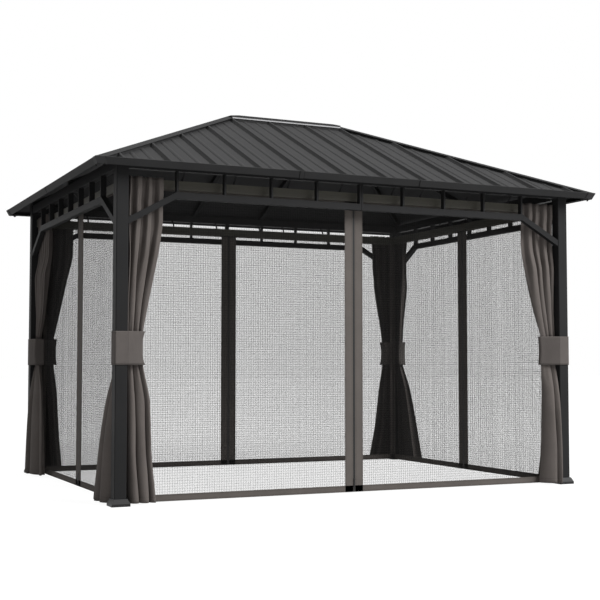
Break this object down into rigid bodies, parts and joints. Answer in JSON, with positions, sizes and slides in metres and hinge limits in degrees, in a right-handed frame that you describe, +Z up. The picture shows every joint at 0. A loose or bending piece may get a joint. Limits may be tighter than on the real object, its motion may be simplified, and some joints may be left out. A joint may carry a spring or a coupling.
{
  "type": "metal gazebo",
  "caption": "Free-standing metal gazebo with a hipped seamed roof on square posts, slatted friezes with corner braces, zipped insect nets and tied-back curtains.",
  "frame": {"origin": "on the ground, below the middle of the ridge", "axes": "+X along the long side, +Y to the back, +Z up"},
  "size_m": [3.6, 2.68, 2.659],
  "materials": {
    "frame_paint": "satin",
    "roof_sheet": "satin",
    "roof_trim": "satin",
    "track_aluminium": "satin",
    "foot_plastic": "matte",
    "net_mesh": "matte",
    "curtain_cloth": "matte",
    "tie_cloth": "matte"
  },
  "bodies": {
    "root": {"front_left_post": "frame_paint", "front_left_hip_cap": "roof_trim", "front_left_curtains": "curtain_cloth", "front_right_post": "frame_paint", "front_right_hip_cap": "roof_trim", "front_right_curtains": "curtain_cloth", "back_left_post": "frame_paint", "back_left_hip_cap": "roof_trim", "back_left_curtains": "curtain_cloth", "back_right_post": "frame_paint", "back_right_hip_cap": "roof_trim", "back_right_curtains": "curtain_cloth", "front_beam": "frame_paint", "front_rail": "frame_paint", "front_bars": "frame_paint", "front_fascia": "roof_trim", "front_roof": "roof_sheet", "front_net": "net_mesh", "back_beam": "frame_paint", "back_rail": "frame_paint", "back_bars": "frame_paint", "back_fascia": "roof_trim", "back_roof": "roof_sheet", "back_net": "net_mesh", "left_beam": "frame_paint", "left_rail": "frame_paint", "left_bars": "frame_paint", "left_fascia": "roof_trim", "left_roof": "roof_sheet", "left_net": "net_mesh", "right_beam": "frame_paint", "right_rail": "frame_paint", "right_bars": "frame_paint", "right_fascia": "roof_trim", "right_roof": "roof_sheet", "right_net": "net_mesh", "feet": "foot_plastic", "tie_bands": "tie_cloth", "corner_braces": "frame_paint", "long_curtain_rails": "track_aluminium", "short_curtain_rails": "track_aluminium", "ridge_cap": "roof_trim", "ridge_beam": "frame_paint", "hip_rafters": "frame_paint", "common_rafters": "frame_paint"}
  },
  "joints": []
}
